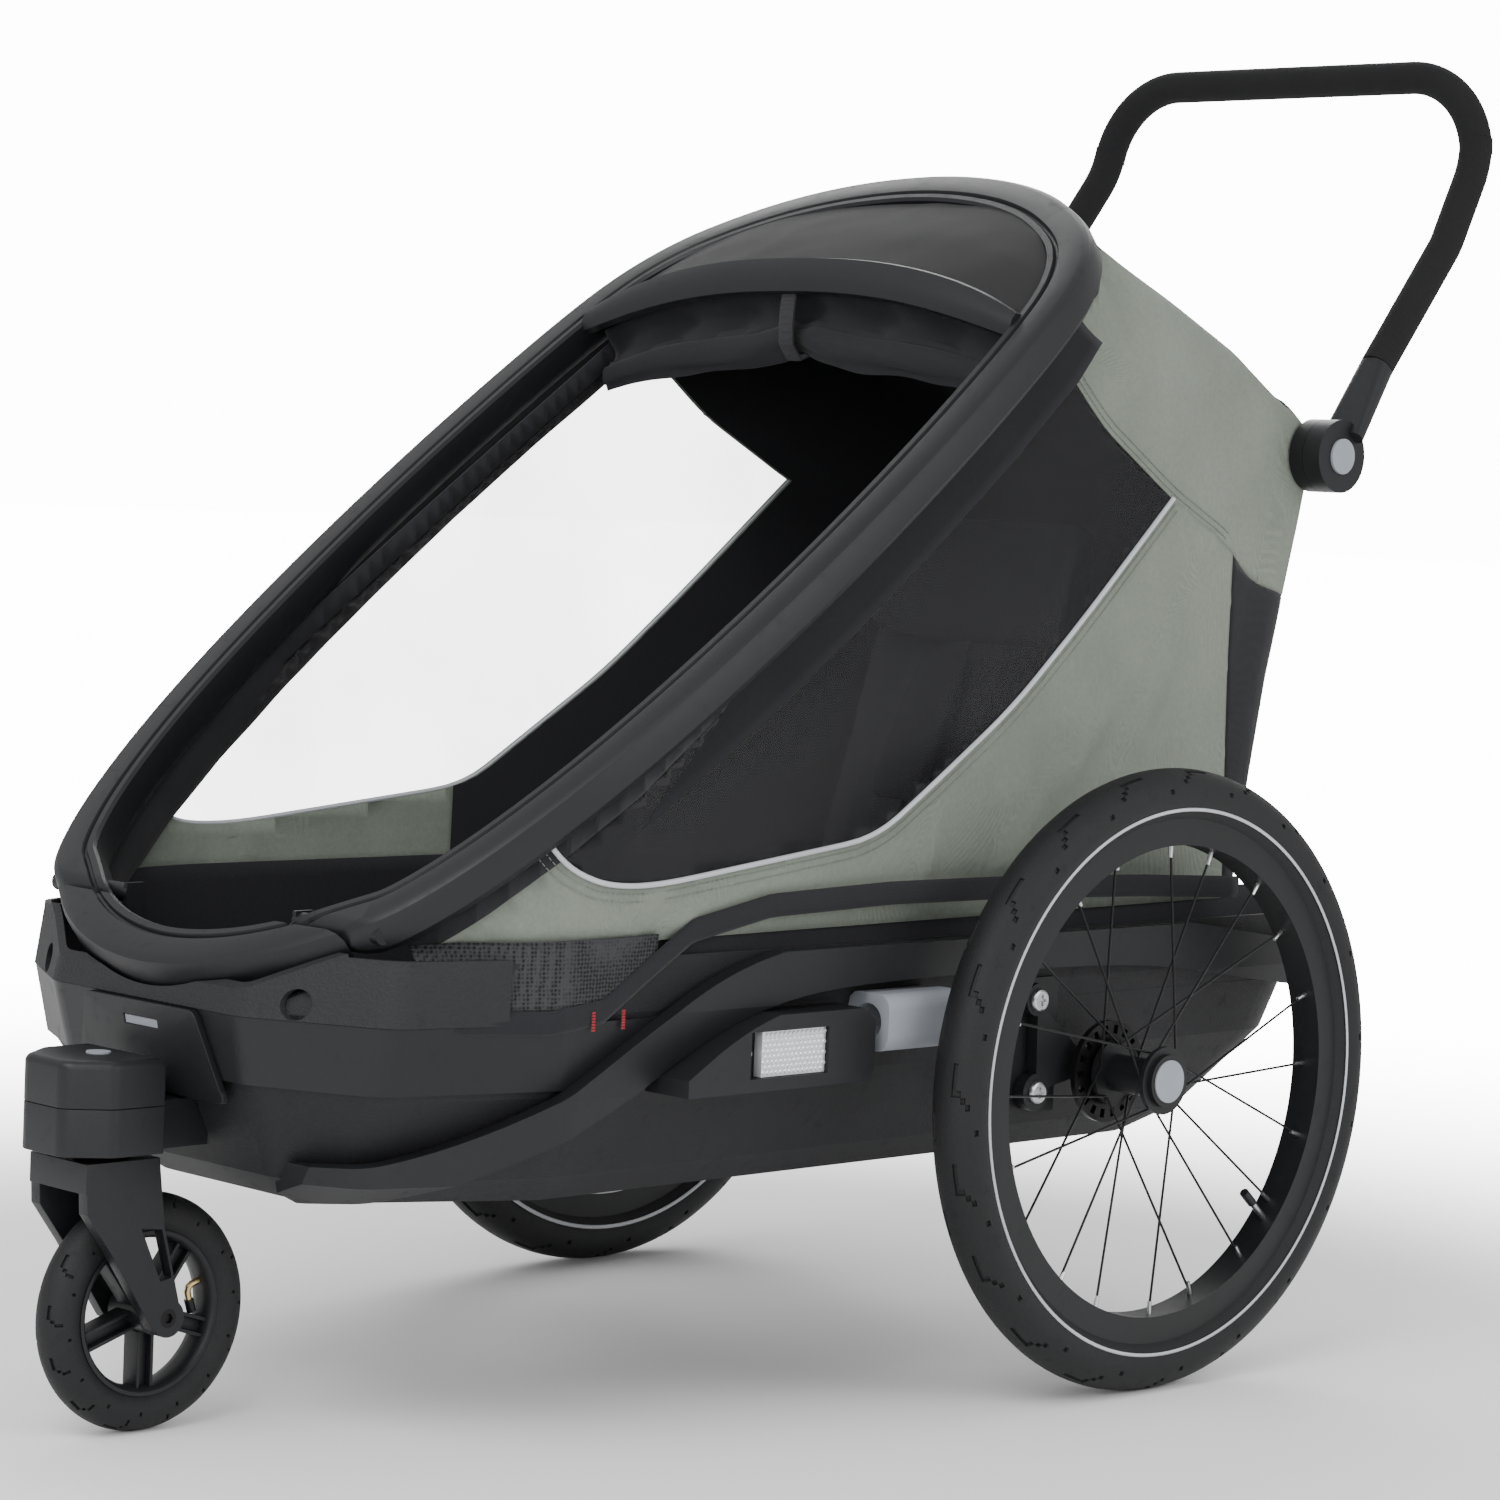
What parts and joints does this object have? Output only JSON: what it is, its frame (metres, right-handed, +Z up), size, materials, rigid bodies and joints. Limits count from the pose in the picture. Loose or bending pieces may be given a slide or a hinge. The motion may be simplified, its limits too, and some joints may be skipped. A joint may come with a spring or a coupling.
{
  "type": "child bicycle trailer",
  "caption": "Covered two-wheel child trailer with an oval roof hoop, tinted side windows, a folding push handle and a swivelling stroller wheel.",
  "frame": {"origin": "middle of the base: centre of the bounding box in plan, on the ground", "axes": "+X to the child's left, -Y forward along travel, +Z up; the rear axle runs along X"},
  "size_m": [0.696, 1.3645, 1.1035],
  "materials": {
    "hull_plastic": "moulded, fine grained",
    "trim_plastic": "satin",
    "grey_plastic": "satin",
    "frame_black": "powder coat",
    "steel": "zinc plated",
    "black_steel": "black coated",
    "brass": "plain",
    "tyre": "slick with shallow grooves",
    "foam": "closed-cell foam",
    "green_cloth": "coated plain weave",
    "black_cloth": "woven",
    "window_film": "smoke tinted film",
    "reflector": "honeycomb prism"
  },
  "bodies": {
    "chassis": {"tub": "hull_plastic", "bumper_band": "trim_plastic", "side_beam_left": "trim_plastic", "side_beam_right": "trim_plastic", "rear_beam": "trim_plastic", "front_face": "hull_plastic", "front_cover": "trim_plastic", "hoop_brackets": "frame_black", "latch_panel": "trim_plastic", "latch_key": "grey_plastic", "pod_cover": "trim_plastic", "pod_base": "trim_plastic", "reflector_pod_left": "trim_plastic", "reflector_pod_right": "trim_plastic", "reflectors": "reflector", "reflector_screws": "steel", "tow_sleeve": "grey_plastic", "arm_brackets": "frame_black", "suspension_bolts": "steel", "rear_posts": "frame_black", "seat_base": "black_cloth", "seat_back": "black_cloth", "foot_mat": "black_cloth", "side_panel_left": "green_cloth", "side_panel_right": "green_cloth", "side_window_left": "window_film", "side_window_right": "window_film", "canopy": "green_cloth", "rear_mesh": "black_cloth"},
    "hoop": {"hoop": "trim_plastic", "sun_shade": "black_cloth"},
    "visor": {"visor_bow": "trim_plastic"},
    "rear_frame": {"rear_upright_left": "frame_black", "rear_upright_right": "frame_black"},
    "handle": {"handle_bar": "frame_black", "handle_grip": "foam", "handle_arm_left": "trim_plastic", "handle_arm_right": "trim_plastic"},
    "handle_button_left": {"handle_button_left": "grey_plastic"},
    "handle_button_right": {"handle_button_right": "grey_plastic"},
    "fork": {"fork": "trim_plastic", "fork_axle": "steel"},
    "front_wheel": {"front_tyre": "tyre", "front_rim": "trim_plastic", "front_valve": "brass"},
    "pod_button": {"pod_button": "grey_plastic"},
    "swing_arm_left": {"swing_arm_left": "frame_black"},
    "wheel_left": {"tyre_left": "tyre", "rim_left": "frame_black", "spokes_left": "black_steel", "hub_shell_left": "frame_black", "brake_disc_left": "black_steel"},
    "hub_cap_left": {"hub_cap_left": "grey_plastic"},
    "swing_arm_right": {"swing_arm_right": "frame_black"},
    "wheel_right": {"tyre_right": "tyre", "rim_right": "frame_black", "spokes_right": "black_steel", "hub_shell_right": "frame_black", "brake_disc_right": "black_steel"},
    "hub_cap_right": {"hub_cap_right": "grey_plastic"}
  },
  "joints": [
    {"name": "hoop_fold", "type": "hinge", "parent": "chassis", "child": "hoop", "pos_m": [0, -0.53425, 0.382], "axis": [-1, 0, 0], "range_deg": [0, 36], "deforming": ["side_panel_left", "side_panel_right", "side_window_left", "side_window_right", "canopy", "rear_mesh", "seat_back"]},
    {"name": "rear_frame_fold", "type": "hinge", "parent": "chassis", "child": "rear_frame", "pos_m": [0, 0.40575, 0.545], "axis": [1, 0, 0], "range_deg": [0, 78.2]},
    {"name": "visor_tilt", "type": "hinge", "parent": "hoop", "child": "visor", "pos_m": [0, 0.03875, 0.83046], "axis": [1, 0, 0], "range_deg": [-25, 25]},
    {"name": "handle_tilt", "type": "hinge", "parent": "rear_frame", "child": "handle", "pos_m": [0, 0.45375, 0.748], "axis": [1, 0, 0], "range_deg": [-120, 30]},
    {"name": "handle_button_left", "type": "slide", "parent": "handle", "child": "handle_button_left", "axis": [-1, 0, 0], "range_m": [0, 0.003], "stiffness_N_per_m": 600},
    {"name": "handle_button_right", "type": "slide", "parent": "handle", "child": "handle_button_right", "axis": [1, 0, 0], "range_m": [0, 0.003], "stiffness_N_per_m": 600},
    {"name": "caster_swivel", "type": "hinge", "parent": "chassis", "child": "fork", "pos_m": [0, -0.63025, 0.2], "axis": [0, 0, 1], "continuous": true},
    {"name": "front_wheel_spin", "type": "hinge", "parent": "fork", "child": "front_wheel", "pos_m": [0, -0.59025, 0.088], "axis": [1, 0, 0], "continuous": true},
    {"name": "pod_button_press", "type": "slide", "parent": "chassis", "child": "pod_button", "axis": [0, 0, -1], "range_m": [0, 0.002], "stiffness_N_per_m": 600},
    {"name": "suspension_left", "type": "hinge", "parent": "chassis", "child": "swing_arm_left", "pos_m": [0, 0.08575, 0.234], "axis": [1, 0, 0], "range_deg": [-2, 2], "stiffness_Nm_per_rad": 4000},
    {"name": "wheel_spin_left", "type": "hinge", "parent": "swing_arm_left", "child": "wheel_left", "pos_m": [0, 0.15575, 0.248], "axis": [1, 0, 0], "continuous": true},
    {"name": "hub_cap_press_left", "type": "slide", "parent": "wheel_left", "child": "hub_cap_left", "axis": [-1, 0, 0], "range_m": [0, 0.0025], "stiffness_N_per_m": 600},
    {"name": "suspension_right", "type": "hinge", "parent": "chassis", "child": "swing_arm_right", "pos_m": [0, 0.08575, 0.234], "axis": [1, 0, 0], "range_deg": [-2, 2], "stiffness_Nm_per_rad": 4000},
    {"name": "wheel_spin_right", "type": "hinge", "parent": "swing_arm_right", "child": "wheel_right", "pos_m": [0, 0.15575, 0.248], "axis": [1, 0, 0], "continuous": true},
    {"name": "hub_cap_press_right", "type": "slide", "parent": "wheel_right", "child": "hub_cap_right", "axis": [1, 0, 0], "range_m": [0, 0.0025], "stiffness_N_per_m": 600}
  ],
  "couplings": [
    {"joint": "rear_frame_fold", "follows": "hoop_fold", "ratio": 2.1667}
  ]
}
